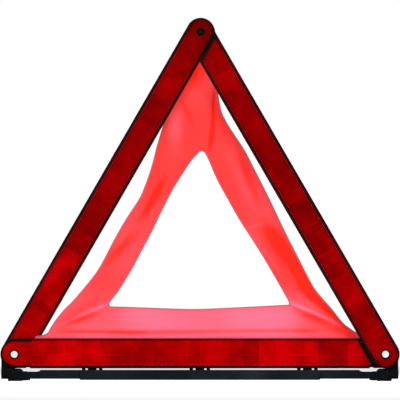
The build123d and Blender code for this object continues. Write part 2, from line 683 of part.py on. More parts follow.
# ---------------------------------------------------------------- all nodes
def build():
    left = arm_place(-1)
    right = arm_place(1)
    nodes = {
        "bottom_bar_tray": bar_tray(),
        "bottom_bar_reflector": bar_reflector(),
        "fabric_clamp_strip": clamp_strip(),
        "clamp_rivets": [clamp_rivet(x) for x in CLAMP_RIVET_X],
        "fluorescent_fabric": fabric(),
        "left_corner_bracket": left_bracket(),
        "right_corner_bracket": right_bracket(),
        "left_pivot_rivet": left_rivet(),
        "right_pivot_rivet": right_rivet(),
        "left_pivot_spacer": spacer(-1),
        "right_pivot_spacer": spacer(1),
        "left_rail_pin": rail_pin(-1),
        "right_rail_pin": rail_pin(1),
        "base_rail": base_rail(),
        "ballast_bar": ballast_bar(),
        "ballast_cover": ballast_cover(),
        "cover_screws": [cover_screw(x) for x in SCREW_X],
        "left_arm_tray": left * left_tray(),
        "left_arm_reflector": left * arm_reflector(left_outline, LEFT_HOLES),
        "apex_socket_bush": left * socket_bush(),
        "right_arm_tray": right * right_tray(),
        "right_arm_reflector": right * arm_reflector(right_outline, LEFT_HOLES[:1]),
        "apex_snap_strap": right * snap_strap(),
        "strap_rivets": [right * strap_rivet(x) for x in STRAP_RIVET_X],
        "fabric_peg_cap": right * peg_cap(),
        "leg_pivot_rivets": [],
        "leg_spring_washers": [],
    }
    for name, x in zip(("left", "middle", "right"), CLIP_X):
        nodes[f"rail_clip_{name}"] = rail_clip(x)
    for name, place in leg_places():
        nodes[f"{name}_leg"] = place * leg_bar()
        nodes[f"{name}_foot"] = place * foot_pad()
        nodes["leg_pivot_rivets"].append(place * leg_rivet())
        nodes["leg_spring_washers"].append(place * leg_washer())
    return nodes


def save(nodes):
    os.makedirs("parts", exist_ok=True)
    for name, shape in nodes.items():
        solid = Compound(children=shape) if isinstance(shape, list) else shape
        export_step(solid, f"parts/{name}.step")


save(build())
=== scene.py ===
import json
import math

import bmesh
import bpy
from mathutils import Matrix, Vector, noise


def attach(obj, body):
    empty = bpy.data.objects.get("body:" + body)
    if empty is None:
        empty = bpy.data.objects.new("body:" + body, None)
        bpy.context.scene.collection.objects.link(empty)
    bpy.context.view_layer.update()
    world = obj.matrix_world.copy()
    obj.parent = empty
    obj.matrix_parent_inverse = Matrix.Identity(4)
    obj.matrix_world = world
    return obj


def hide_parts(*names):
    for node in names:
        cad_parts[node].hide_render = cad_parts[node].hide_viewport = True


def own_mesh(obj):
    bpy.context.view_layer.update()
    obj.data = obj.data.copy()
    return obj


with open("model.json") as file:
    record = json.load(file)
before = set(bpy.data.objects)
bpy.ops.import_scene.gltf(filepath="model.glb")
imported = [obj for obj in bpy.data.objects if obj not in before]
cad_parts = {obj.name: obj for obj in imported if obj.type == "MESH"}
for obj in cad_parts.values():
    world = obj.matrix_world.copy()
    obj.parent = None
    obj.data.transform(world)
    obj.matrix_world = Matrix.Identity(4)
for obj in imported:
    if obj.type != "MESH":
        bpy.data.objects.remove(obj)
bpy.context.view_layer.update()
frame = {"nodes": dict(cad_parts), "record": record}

MM = 0.001
NODES = frame["nodes"]
JOINTS = {j["name"]: j for j in frame["record"]["behaviour"]["joints"]}


# ================================================================ mesh helpers
def add_mesh(name, verts, faces, material, smooth=True):
    mesh = bpy.data.meshes.new(name)
    mesh.from_pydata([tuple(v) for v in verts], [], faces)
    mesh.validate()
    mesh.polygons.foreach_set("use_smooth", [smooth] * len(mesh.polygons))
    mesh.materials.append(material)
    piece = bpy.data.objects.new(name, mesh)
    bpy.context.scene.collection.objects.link(piece)
    return piece


def smoothstep(low, high, value):
    t = min(max((value - low) / (high - low), 0.0), 1.0)
    return t * t * (3 - 2 * t)


CURVE_STEPS = 40               # between two points of a curve, before it is resampled


def curve_through(points, count):
    """Evenly spaced samples of a smooth curve through 2-D points."""
    pts = [Vector(p) for p in points]
    pts = [2 * pts[0] - pts[1]] + pts + [2 * pts[-1] - pts[-2]]
    dense = []
    for i in range(1, len(pts) - 2):
        a, b, c, d = pts[i - 1 : i + 3]
        for k in range(CURVE_STEPS):
            t = k / CURVE_STEPS
            dense.append(
                0.5
                * (
                    2 * b
                    + (c - a) * t
                    + (2 * a - 5 * b + 4 * c - d) * t * t
                    + (3 * b - a - 3 * c + d) * t * t * t
                )
            )
    dense.append(pts[-2])
    return resampled(dense, count)


def resampled(line, count):
    """The same line with count points, evenly spaced along it."""
    reach = [0.0]
    for a, b in zip(line, line[1:]):
        reach.append(reach[-1] + (b - a).length)
    result, k = [], 0
    for i in range(count):
        want = reach[-1] * i / (count - 1)
        while k < len(line) - 2 and reach[k + 1] < want:
            k += 1
        span = max(reach[k + 1] - reach[k], 1e-12)
        result.append(line[k].lerp(line[k + 1], (want - reach[k]) / span))
    return result


# ================================================================ shader helpers
class Shader:
    """A material's node tree, with short calls for the nodes that are used here."""

    def __init__(self, name):
        self.material = bpy.data.materials.new(name)
        self.material.use_nodes = True
        self.tree = self.material.node_tree
        self.tree.nodes.clear()
        self.out = self.node("ShaderNodeOutputMaterial")
        self.place = self.node("ShaderNodeTexCoord").outputs["Object"]

    def node(self, kind, **settings):
        made = self.tree.nodes.new(kind)
        for key, value in settings.items():
            setattr(made, key, value)
        return made

    def feed(self, socket, value):
        if isinstance(value, bpy.types.NodeSocket):
            self.tree.links.new(value, socket)
        else:
            socket.default_value = value

    def math(self, operation, a, b=0.0, c=0.0):
        made = self.node("ShaderNodeMath", operation=operation)
        for socket, value in zip(made.inputs, (a, b, c)):
            self.feed(socket, value)
        return made.outputs[0]

    def dot(self, direction, origin):
        """Distance of the surface point from origin, along a direction."""
        shift = self.node("ShaderNodeVectorMath", operation="SUBTRACT")
        self.feed(shift.inputs[0], self.place)
        shift.inputs[1].default_value = origin
        made = self.node("ShaderNodeVectorMath", operation="DOT_PRODUCT")
        self.feed(made.inputs[0], shift.outputs[0])
        made.inputs[1].default_value = direction
        return made.outputs["Value"]

    def noise(self, scale, detail=3.0, vector=None, rough=0.5):
        made = self.node("ShaderNodeTexNoise")
        self.feed(made.inputs["Vector"], vector or self.place)
        made.inputs["Scale"].default_value = scale
        made.inputs["Detail"].default_value = detail
        made.inputs["Roughness"].default_value = rough
        return made.outputs["Fac"]

    def ramp(self, value, stops):
        made = self.node("ShaderNodeValToRGB")
        self.feed(made.inputs["Fac"], value)
        ramp = made.color_ramp
        while len(ramp.elements) < len(stops):
            ramp.elements.new(0.5)
        for element, (at, colour) in zip(ramp.elements, stops):
            element.position = at
            element.color = (*colour, 1.0)
        return made.outputs["Color"]

    def mix(self, factor, a, b, blend="MIX"):
        made = self.node("ShaderNodeMix", data_type="RGBA", blend_type=blend)
        self.feed(made.inputs["Factor"], factor)
        self.feed(made.inputs["A"], a)
        self.feed(made.inputs["B"], b)
        return made.outputs["Result"]

    def bump(self, height, strength, distance):
        made = self.node("ShaderNodeBump")
        made.inputs["Strength"].default_value = strength
        made.inputs["Distance"].default_value = distance
        self.feed(made.inputs["Height"], height)
        return made.outputs["Normal"]

    def principled(self, colour, roughness, normal=None, **sockets):
        made = self.node("ShaderNodeBsdfPrincipled")
        self.feed(made.inputs["Base Color"], colour)
        self.feed(made.inputs["Roughness"], roughness)
        if normal:
            self.feed(made.inputs["Normal"], normal)
        for key, value in sockets.items():
            self.feed(made.inputs[key.replace("_", " ")], value)
        return made.outputs["BSDF"]

    def finish(self, surface):
        self.tree.links.new(surface, self.out.inputs["Surface"])
        return self.material


def range_of(shader, value, low, high):
    made = shader.node("ShaderNodeMapRange")
    shader.feed(made.inputs["Value"], value)
    made.inputs["To Min"].default_value = low
    made.inputs["To Max"].default_value = high
    return made.outputs["Result"]


# ================================================================ materials
def scuffed(shader, base, worn, amount):
    """Thin pale scuffs in patches, as handling leaves on dark plastic and paint."""
    lines = shader.node("ShaderNodeMapping")
    shader.feed(lines.inputs["Vector"], shader.place)
    lines.inputs["Rotation"].default_value = (0.3, 0.2, 0.5)
    lines.inputs["Scale"].default_value = (1.0, 1.0, 9.0)
    streak = shader.noise(300, 2, lines.outputs["Vector"])
    patch = shader.noise(24, 3)
    both = shader.math("MULTIPLY", streak, patch)
    mask = shader.ramp(both, [(0.3, (0, 0, 0)), (0.48, (amount, amount, amount))])
    return shader.mix(mask, base, worn)


def black_plastic(name, dark, light):
    s = Shader(name)
    grain = s.noise(1500, 2)
    cloud = s.noise(35, 4)
    base = s.ramp(cloud, [(0.3, dark), (0.75, light)])
    colour = scuffed(s, base, (0.02, 0.02, 0.021, 1), 0.3)
    roughness = range_of(s, cloud, 0.5, 0.66)
    normal = s.bump(grain, 0.12, 0.00012)
    return s.finish(s.principled(colour, roughness, normal, Specular_IOR_Level=0.02))


def painted_steel(name, shine):
    s = Shader(name)
    peel = s.noise(420, 2)
    cloud = s.noise(28, 3)
    base = s.ramp(cloud, [(0.3, (0.002, 0.0042, 0.005)), (0.8, (0.0045, 0.0078, 0.009))])
    colour = scuffed(s, base, (0.035, 0.037, 0.038, 1), 0.3)
    roughness = range_of(s, cloud, 0.42, 0.56)
    normal = s.bump(peel, 0.1, 0.0003)
    return s.finish(s.principled(colour, roughness, normal, Specular_IOR_Level=shine))


def nickel(name):
    s = Shader(name)
    cloud = s.noise(160, 3)
    scratch = s.node("ShaderNodeMapping")
    s.feed(scratch.inputs["Vector"], s.place)
    scratch.inputs["Scale"].default_value = (1.0, 1.0, 14.0)
    lines = s.noise(700, 2, scratch.outputs["Vector"])
    colour = s.ramp(cloud, [(0.3, (0.56, 0.56, 0.55)), (0.7, (0.74, 0.74, 0.73))])
    roughness = range_of(s, cloud, 0.34, 0.5)
    normal = s.bump(lines, 0.08, 0.0001)
    return s.finish(s.principled(colour, roughness, normal, Metallic=0.85))


def mill_steel(name):
    s = Shader(name)
    cloud = s.noise(60, 5)
    colour = s.ramp(cloud, [(0.3, (0.2, 0.19, 0.18)), (0.75, (0.36, 0.35, 0.34))])
    roughness = range_of(s, cloud, 0.35, 0.6)
    return s.finish(s.principled(colour, roughness, s.bump(s.noise(900, 2), 0.15, 0.0001), Metallic=0.9))


def rubber(name):
    s = Shader(name)
    cloud = s.noise(70, 4)
    dust = s.noise(22, 5)
    base = s.ramp(cloud, [(0.3, (0.0015, 0.0016, 0.002)), (0.7, (0.004, 0.004, 0.0045))])
    colour = s.mix(s.math("MULTIPLY", dust, 0.006), base, (0.07, 0.07, 0.07, 1))
    normal = s.bump(s.noise(1200, 2), 0.25, 0.0002)
    return s.finish(s.principled(colour, range_of(s, dust, 0.75, 0.92), normal, Specular_IOR_Level=0.0))


BLOCK_RUN = 33 * MM             # length of one moulded block of prisms
CELL_SCALE = 420
WEAVE_SCALE = 560


def prism_red(name, strip, painted_levels, border):
    """Moulded retroreflector: blocks that catch the light differently, cube corners inside each.

    Its levels are painted light and shade along the strip, as (run in metres, brightness); beyond border,
    across it, it is darker."""
    s = Shader(name)
    run = s.dot(strip.along, strip.origin)
    side = s.math("ABSOLUTE", s.dot(strip.across, strip.origin))
    block = s.math("FLOOR", s.math("DIVIDE", run, BLOCK_RUN))
    pick = s.node("ShaderNodeTexWhiteNoise", noise_dimensions="1D")
    s.feed(pick.inputs["W"], block)
    cloud = s.noise(18, 2)
    patch = s.noise(48, 2)
    level = s.math("MULTIPLY_ADD", pick.outputs["Value"], 0.24, s.math("MULTIPLY", cloud, 0.7))
    level = s.math("MULTIPLY_ADD", patch, 0.65, level)
    body = s.ramp(level, [(0.56, (0.56, 0.0, 0.0)), (0.78, (0.9, 0.0, 0.0)), (1.0, (1.45, 0.0, 0.004))])
    first, last = painted_levels[0][0], painted_levels[-1][0]
    share = s.math("DIVIDE", s.math("SUBTRACT", run, first), last - first)
    stops = [((at - first) / (last - first), (value, value, value)) for at, value in painted_levels]
    # painted light: the brightness along the strip multiplies the red
    body = s.mix(1.0, body, s.ramp(share, stops), "MULTIPLY")
    edge = s.math("DIVIDE", side, 2 * border)
    body = s.mix(1.0, body, s.ramp(edge, [(0.49, (1, 1, 1)), (0.53, (0.42, 0.5, 0.5))]), "MULTIPLY")
    cells = s.node("ShaderNodeTexVoronoi")
    s.feed(cells.inputs["Vector"], s.place)
    cells.inputs["Scale"].default_value = CELL_SCALE
    facet = s.node("ShaderNodeSeparateColor")
    s.feed(facet.inputs[0], cells.outputs["Color"])
    bright = s.node("ShaderNodeHueSaturation")
    s.feed(bright.inputs["Value"], range_of(s, facet.outputs[0], 0.88, 1.04))
    s.feed(bright.inputs["Color"], body)
    normal = s.bump(cells.outputs["Distance"], 0.1, 0.0004)
    red_glint = (1.0, 0.01, 0.015, 1.0)
    return s.finish(
        s.principled(bright.outputs["Color"], 0.3, normal, Specular_IOR_Level=0.35, Specular_Tint=red_glint)
    )


def dot_red(name):
    """The small domes along a reflector's edges: the same red plastic, that catches more light."""
    s = Shader(name)
    colour = s.ramp(s.noise(700, 1), [(0.3, (0.17, 0.002, 0.003)), (0.7, (0.3, 0.006, 0.01))])
    normal = s.bump(s.noise(2500, 1), 0.1, 0.0001)
    return s.finish(s.principled(colour, 0.3, normal, Specular_IOR_Level=0.25))


def fluorescent_cloth(name):
    """Thin woven polyester, orange-red; pinker where a painted wash of light lies on it, with an emission
    that paints a glow over it, strongest near the apex.
    """
    s = Shader(name)
    painted_light = s.node("ShaderNodeVertexColor", layer_name="painted_light").outputs["Color"]
    split = s.node("ShaderNodeSeparateColor")
    s.feed(split.inputs[0], painted_light)
    orange_to_pink = [
        (0.0, (0.72, 0.018, 0.009)),
        (0.33, (0.7, 0.04, 0.04)),
        (0.66, (0.7, 0.075, 0.1)),
        (1.0, (0.7, 0.14, 0.22)),
    ]
    # the attribute's red channel places painted light on this ramp: orange-red in shade, pink where lit
    base = s.ramp(split.outputs[0], orange_to_pink)
    weave = []
    for direction in ("X", "Z"):
        wave = s.node("ShaderNodeTexWave", bands_direction=direction)
        s.feed(wave.inputs["Vector"], s.place)
        wave.inputs["Scale"].default_value = WEAVE_SCALE
        wave.inputs["Distortion"].default_value = 0.4
        weave.append(wave.outputs["Fac"])
    threads = s.math("MULTIPLY", weave[0], weave[1])
    slub = s.noise(240, 4)
    shade = range_of(s, s.math("MULTIPLY_ADD", threads, 0.5, s.math("MULTIPLY", slub, 0.5)), 0.9, 1.04)
    # painted glow: emission over the whole cloth, stronger near the apex from the attribute's green channel
    painted_glow = s.math("MULTIPLY_ADD", split.outputs[1], 0.75, 0.2)
    tone = s.node("ShaderNodeHueSaturation")
    s.feed(tone.inputs["Value"], shade)
    s.feed(tone.inputs["Color"], base)
    colour = tone.outputs["Color"]
    normal = s.bump(threads, 0.2, 0.0001)
    front = s.principled(
        colour, 0.8, normal, Specular_IOR_Level=0.04, Emission_Color=colour, Emission_Strength=painted_glow
    )
    through = s.node("ShaderNodeBsdfTranslucent")
    s.feed(through.inputs["Color"], colour)
    blend = s.node("ShaderNodeMixShader")
    blend.inputs[0].default_value = 0.3
    s.feed(blend.inputs[1], front)
    s.feed(blend.inputs[2], through.outputs[0])
    return s.finish(blend.outputs[0])


def hem_thread(name):
    s = Shader(name)
    twist = s.noise(900, 2)
    colour = s.ramp(twist, [(0.3, (0.27, 0.032, 0.05)), (0.7, (0.4, 0.052, 0.085))])
    return s.finish(s.principled(colour, 0.85, s.bump(twist, 0.5, 0.0002), Sheen_Weight=0.2))


# ================================================================ frames of the three reflectors
class Strip:
    """A reflector's own frame: along its length, across its face, and out of its front."""

    def __init__(self, origin, along, out):
        self.origin = Vector(origin)
        self.along = Vector(along).normalized()
        self.out = Vector(out).normalized()
        self.across = self.along.cross(self.out).normalized()

    def at(self, run, side, height):
        return self.origin + self.along * run + self.across * side + self.out * height


def arm_strip(joint, sign, angle):
    """An arm's frame, from its pivot: sign 1 leans to the right as it rises, -1 to the left."""
    axis = Vector(joint["axis"])
    if axis.y > 0:
        axis = -axis
    up = Vector((0, axis.z, -axis.y))
    turn = math.radians(angle)
    along = Vector((sign * math.cos(turn), 0, 0)) + up * math.sin(turn)
    return Strip(joint["pos_m"], along, axis)


LEFT_ANGLE = 60.0               # of each arm above the ground, in degrees
RIGHT_ANGLE = 59.96
BAR_MIDDLE_Z = 30.5 * MM
LEFT = arm_strip(JOINTS["left_arm_fold"], 1, LEFT_ANGLE)
RIGHT = arm_strip(JOINTS["right_arm_fold"], -1, RIGHT_ANGLE)
BAR = Strip((0, 0, BAR_MIDDLE_Z), (1, 0, 0), (0, -1, 0))


# ================================================================ rows of dots along the reflectors
DOT_STEP = 2.3 * MM
DOT_R = 0.55 * MM
DOT_RISE = 0.3 * MM
DOT_SIDES = 6
DOT_RINGS = ((1.0, -0.2), (0.72, 0.6))  # share of the radius, share of the rise


def dome(verts, faces, strip, run, side, height):
    """One low dome: two rings and a tip, with a flat underside."""
    start = len(verts)
    upper, tip = start + DOT_SIDES, start + 2 * DOT_SIDES
    for radius, rise in DOT_RINGS:
        for k in range(DOT_SIDES):
            turn = 2 * math.pi * k / DOT_SIDES
            along = run + DOT_R * radius * math.cos(turn)
            across = side + DOT_R * radius * math.sin(turn)
            verts.append(strip.at(along, across, height + DOT_RISE * rise))
    verts.append(strip.at(run, side, height + DOT_RISE))
    for k in range(DOT_SIDES):
        n = (k + 1) % DOT_SIDES
        faces.append((start + k, start + n, upper + n, upper + k))
        faces.append((upper + k, upper + n, tip))
    faces.append(tuple(start + k for k in reversed(range(DOT_SIDES))))


def dot_rows(name, strip, body, rows, height, material):
    """Rows of domes: each row is (side, first run, last run)."""
    verts, faces = [], []
    for side, first, last in rows:
        count = int((last - first) / DOT_STEP)
        for i in range(count + 1):
            dome(verts, faces, strip, first + i * DOT_STEP, side, height)
    piece = add_mesh(name, verts, faces, material)
    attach(piece, body)
    return piece


# ================================================================ fabric
FOOT_Y = 0.75 * MM              # the cloth's middle where it leaves the bar
FOOT_Z = 47.2 * MM              # the bar's top
FOOT_HANG = 0.0102              # metres of cloth below that, between the tray and the clamp strip
SLOPE = 0.0345                  # how far back the cloth leans for each unit that it rises
APEX_X, APEX_Z = 0.9, 389.4     # the peg, in millimetres like the outlines below
BEHIND_ARMS_Z = 268.0           # above this the cloth may come forward by only the limit below
FORWARD_LIMIT = 0.3
CORNER_X = 150.0                # from here out the bottom corners have hollow edges
SIDE_SAMPLES = 170
FOOT_SAMPLES = 170
RADIAL = 30                     # cells of cloth from the hole to the outer edge
CLOTH_THICK = 0.3 * MM
HEM_R = 0.7 * MM
HEM_EDGE_SAMPLES = 260
HEM_HOLE_SAMPLES = 150
HEM_FOOT_SAMPLES = 120
EYELET_R = 3.4 * MM
EYELET_WIRE_R = 0.8 * MM
EYELET_SAMPLES = 32
TUBE_FLATNESS = 0.7             # thickness of a hem or ring over its width

# outlines of the cloth: (x, z) in millimetres, with smooth curves through them
LEFT_EDGE = [
    (0, 399), (-5, 397), (-8, 392), (-45.5, 268.5), (-48.5, 257.4), (-54.6, 235.1), (-62.6, 212.7),
    (-68, 201.6), (-82.4, 179.3), (-95.2, 157), (-106.7, 134.7), (-113.2, 123.5), (-121.3, 112.3),
    (-140, 90), (-151, 78.9), (-160.1, 67.7), (-163.8, 62.1), (-166.8, 57.7), (-168.5, 54.3),
    (-171, 52), (-176.5, 50), (-184, 47.8), (-185, 37),
]
RIGHT_EDGE = [
    (0, 399), (5, 397), (8, 392), (19.6, 322), (23.3, 302), (28.2, 290.8), (34.7, 279.7),
    (49.3, 257.4), (60.9, 235.1), (77.8, 201.6), (93.7, 168.1), (110.6, 134.7), (122.1, 112.3),
    (128.7, 101.2), (137.9, 90), (147.6, 78.9), (156.3, 67.7), (161.6, 62.1), (166.2, 58.8),
    (170.8, 55.4), (184, 47.7), (185, 37),
]
HOLE_LEFT = [
    (1.8, 256.8), (-0.8, 256), (-3.1, 253.5), (-9.6, 246.2), (-17.1, 235.1), (-31, 212.7), (-42.5, 190.4),
    (-53.2, 168.1), (-65, 145.8), (-76.8, 123.5), (-90.6, 101.2), (-99.1, 90), (-101.6, 85.5), (-100.8, 83.4),
]
HOLE_RIGHT = [
    (1.8, 256.8), (4.5, 256), (6.8, 253.5), (10.5, 246.2), (20.2, 223.9), (32.4, 201.6), (45.1, 179.3),
    (59.4, 157), (73.4, 134.7), (86.4, 112.3), (92.7, 101.2), (98.9, 90), (100.3, 86.4), (99.6, 84.4),
]
HOLE_FOOT = [
    (-100.8, 83.4), (-98, 82.3), (-77.9, 81.7), (-33, 80), (-1, 79.5), (45, 81.4), (95, 84), (99.6, 84.4),
]
PANEL_FOOT = [(-185, 37), (0, 37), (185, 37)]

# folds: (x, z) of both ends in mm, half width, depth (back is +), painted light that it adds (+ is a pink
# painted highlight on a ridge, - is painted shade in a crease)
FOLDS = [
    # lower left corner: a sharp ridge with a hollow under it
    ((-160, 60), (-101, 86), 1.9, -2.4, 0.55),
    ((-158, 61), (-112, 77), 3.4, 2.6, -0.6),
    ((-154, 68), (-110, 91), 4.5, 1.2, -0.2),
    # creases along the bar
    ((-164, 55), (-60, 54), 1.8, 1.6, -0.5),
    ((-100, 53.5), (20, 54.5), 2.0, 1.4, -0.45),
    ((0, 55), (150, 56), 1.8, 1.0, -0.3),
    ((104, 55), (128, 55), 1.4, 0.8, -0.25),
    # lower right corner
    ((101, 87), (158, 61.5), 1.9, -2.6, 0.6),
    ((108, 78), (150, 63), 4.0, 2.4, -0.5),
    ((112, 106), (170, 57), 4.2, 2.2, -0.75),
    ((146, 60), (176, 50), 5.0, 0.8, -0.5),
    # below the apex
    ((17, 330), (14.7, 283), 1.9, 2.4, -0.45),
    ((14.9, 290), (11, 255), 2.0, 2.4, -0.55),
    ((-22, 315), (-8, 287), 2.5, 1.2, -0.2),
    ((-28, 306), (-28, 260), 7.5, -1.4, 0.36),
    ((-10, 350), (-24, 318), 6.0, 1.8, -0.2),
    # left strip
    ((-39, 226), (-65, 180), 3.2, 2.2, -0.5),
    ((-72, 164), (-105, 130), 3.6, 1.8, -0.35),
    ((-50, 232), (-104, 128), 4.0, -1.2, 0.1),
    # right strip
    ((28, 262), (62, 190), 5.0, -1.6, 0.12),
    ((43, 260), (68, 192), 3.6, 1.4, -0.22),
    ((53, 169.5), (76, 177.5), 1.6, -1.2, 0.22),
    ((73, 174), (104, 131), 6.0, 2.0, -0.75),
    ((102, 135), (127, 93), 4.5, 2.0, -0.9),
    ((52, 170), (96, 110), 4.0, -1.6, 0.2),
]


def fold_at(x, z):
    """Depth that the folds give at a point, in millimetres, and their painted light: pink highlights on
    ridges, painted shade in creases.
    """
    depth, painted_light = 0.0, 0.0
    point = Vector((x, z))
    for start, end, width, deepest, painted_sheen in FOLDS:
        a, b = Vector(start), Vector(end)
        line = b - a
        share = (point - a).dot(line) / line.length_squared
        inside = min(max(share, 0.0), 1.0)
        gap = (point - (a + line * inside)).length
        fade = math.sin(math.pi * min(max(share, 0.04), 0.96)) ** 0.6
        shape = math.exp(-((gap / width) ** 2)) * fade
        depth += deepest * shape
        # painted light: a pink highlight along a ridge, painted shade along a crease
        painted_light += painted_sheen * math.exp(-((gap / (1.2 * width)) ** 2)) * fade
    return depth, painted_light


def wrinkle(x, z):
    """Small uneven waves, longer up and down the cloth than across it."""
    broad = noise.noise(Vector((x * 0.03, z * 0.014, 3.1)))
    fine = noise.noise(Vector((x * 0.11, z * 0.05, 7.7)))
    return 2.0 * broad + 0.6 * fine


def painted_wash(x, z):
    """Painted light over the cloth, in mm: a pink painted wash where light would wash the cloth out, pinkest
    low down in the middle, reddest at the top; its noise cloud is the cloth's own random tone.
    """
    low = 1 - smoothstep(70.0, 110.0, z)
    reach = 138.0 + 30.0 * smoothstep(-62.0, -52.0, -z)
    middle = 1 - smoothstep(75.0, reach, abs(x - 8))
    cloud = noise.noise(Vector((x * 0.02, z * 0.02, 1.0)))
    left_corner = low * smoothstep(90.0, 130.0, -x)
    right_corner = low * smoothstep(95.0, 130.0, x) * smoothstep(53.0, 60.0, z)
    upper_left = smoothstep(190.0, 240.0, z) * smoothstep(-20.0, 20.0, -x)
    top = smoothstep(322.0, 342.0, z)
    painted_sheen = 0.35 + 0.2 * low + 0.31 * low * middle + 0.18 * cloud
    painted_sheen += 0.13 * left_corner - 0.06 * right_corner
    painted_sheen -= 0.1 * upper_left
    return painted_sheen - (0.2 - 0.015 * x) * top


def cloth_point(x, z):
    """Place of the cloth above (x, z) in mm, and the painted light on it."""
    depth, painted_light = fold_at(x, z)
    free = smoothstep(49.0, 66.0, z)
    held = 1.0 - 0.75 * smoothstep(270.0, 345.0, z)
    shift = (depth + wrinkle(x, z)) * free * held
    if z > BEHIND_ARMS_Z:
        shift = max(shift, -FORWARD_LIMIT)
    plane = FOOT_Y + SLOPE * max(z * MM - FOOT_Z, -FOOT_HANG)
    place = Vector((x * MM, plane + shift * MM, z * MM))
    return place, min(max(painted_wash(x, z) + painted_light, 0.0), 1.0)


def let_down(point, edge):
    """The point, or the one below it on a corner's hollow edge if it is above that."""
    for a, b in zip(edge, edge[1:]):
        if a.x != b.x and min(a.x, b.x) <= point.x <= max(a.x, b.x):
            share = (point.x - a.x) / (b.x - a.x)
            return Vector((point.x, min(point.y, a.y + (b.y - a.y) * share)))
    return point


def fabric_panel(material):
    """The panel as a ring of cloth between its outer edge and its triangular hole."""
    left = curve_through(LEFT_EDGE, SIDE_SAMPLES)
    right = curve_through(RIGHT_EDGE[::-1], SIDE_SAMPLES)
    corners = [
        [p for p in side if abs(p.x) > CORNER_X and p.y * MM > FOOT_Z]
        for side in (left, right)
    ]
    outer = left[:-1] + curve_through(PANEL_FOOT, FOOT_SAMPLES)[:-1] + right[:-1]
    inner = curve_through(HOLE_LEFT, SIDE_SAMPLES)[:-1]
    inner += curve_through(HOLE_FOOT, FOOT_SAMPLES)[:-1]
    inner += curve_through(HOLE_RIGHT[::-1], SIDE_SAMPLES)[:-1]
    verts, painted_light_values = [], []
    for near, far in zip(inner, outer):
        for k in range(RADIAL + 1):
            flat = near.lerp(far, k / RADIAL)
            if abs(flat.x) > CORNER_X:
                flat = let_down(flat, corners[flat.x > 0])
            point, painted_light = cloth_point(*flat)
            verts.append(point)
            painted_light_values.append(painted_light)
    count, row = len(outer), RADIAL + 1
    faces = []
    for i in range(count):
        n = (i + 1) % count
        for k in range(RADIAL):
            faces.append((i * row + k, i * row + k + 1, n * row + k + 1, n * row + k))
    piece = add_mesh("fabric_panel", verts, faces, material)
    # colour attribute of painted light: red holds the painted wash and fold light, green holds a painted glow
    # near the apex over the shade under the arms
    layer = piece.data.color_attributes.new("painted_light", "FLOAT_COLOR", "POINT")
    for value, vert, painted_light in zip(layer.data, verts, painted_light_values):
        apex_painted_glow = smoothstep(315.0, 352.0, vert.z / MM)
        value.color = (painted_light, apex_painted_glow, 0.0, 1.0)
    thick = piece.modifiers.new("cloth", "SOLIDIFY")
    thick.thickness = CLOTH_THICK
    thick.offset = 0.0
    bpy.context.view_layer.update()
    evaluated = piece.evaluated_get(bpy.context.evaluated_depsgraph_get())
    done = bpy.data.meshes.new_from_object(evaluated)
    piece.modifiers.clear()
    piece.data = done
    return piece


def tube(verts, faces, line, radius, closed, sides=6):
    """A round tube along a line of points."""
    start, count = len(verts), len(line)
    for i, point in enumerate(line):
        before = line[i - 1] if i or closed else point
        after = line[(i + 1) % count] if i < count - 1 or closed else point
        ahead = (after - before).normalized()
        side = ahead.cross(Vector((0, 1, 0))).normalized()
        up = side.cross(ahead)
        for k in range(sides):
            turn = 2 * math.pi * k / sides
            wide = side * radius * math.cos(turn)
            deep = up * radius * TUBE_FLATNESS * math.sin(turn)
            verts.append(point + wide + deep)
    for i in range(count if closed else count - 1):
        here, there = start + i * sides, start + (i + 1) % count * sides
        for k in range(sides):
            m = (k + 1) % sides
            faces.append((here + k, here + m, there + m, there + k))
    if not closed:
        last = start + (count - 1) * sides
        faces.append(tuple(start + k for k in reversed(range(sides))))
        faces.append(tuple(last + k for k in range(sides)))


def fabric_hem(material):
    """Overlocked thread round the panel's free edges and its hole."""
    verts, faces = [], []
    for edge in (LEFT_EDGE, RIGHT_EDGE):
        curve = curve_through(edge, HEM_EDGE_SAMPLES)
        line = [cloth_point(*p)[0] for p in curve if p.y * MM > FOOT_Z]
        tube(verts, faces, line, HEM_R, closed=False)
    loop = curve_through(HOLE_LEFT, HEM_HOLE_SAMPLES)[:-1]
    loop += curve_through(HOLE_FOOT, HEM_FOOT_SAMPLES)[:-1]
    loop += curve_through(HOLE_RIGHT[::-1], HEM_HOLE_SAMPLES)[:-1]
    tube(verts, faces, [cloth_point(*p)[0] for p in loop], HEM_R, closed=True)
    return add_mesh("fabric_hem", verts, faces, material)


def eyelet(material):
    """Metal ring round the peg at the panel's top corner."""
    verts, faces = [], []
    centre, _ = cloth_point(APEX_X, APEX_Z)
    line = []
    for k in range(EYELET_SAMPLES):
        turn = 2 * math.pi * k / EYELET_SAMPLES
        rise = math.sin(turn) * EYELET_R
        line.append(centre + Vector((math.cos(turn) * EYELET_R, SLOPE * rise, rise)))
    tube(verts, faces, line, EYELET_WIRE_R, closed=True, sides=8)
    return add_mesh("fabric_eyelet", verts, faces, material)


def fold_with_cloth(piece):
    """Attaches a cloth piece to the base body, with a mesh of its own."""
    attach(piece, "base")
    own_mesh(piece)


# ================================================================ copies of CAD pieces
STRAP_MIDDLE = 365 * MM         # along the right arm, where the strap meets its base
STRAP_BASE = 0.9 * MM           # its front face, behind the arm's middle


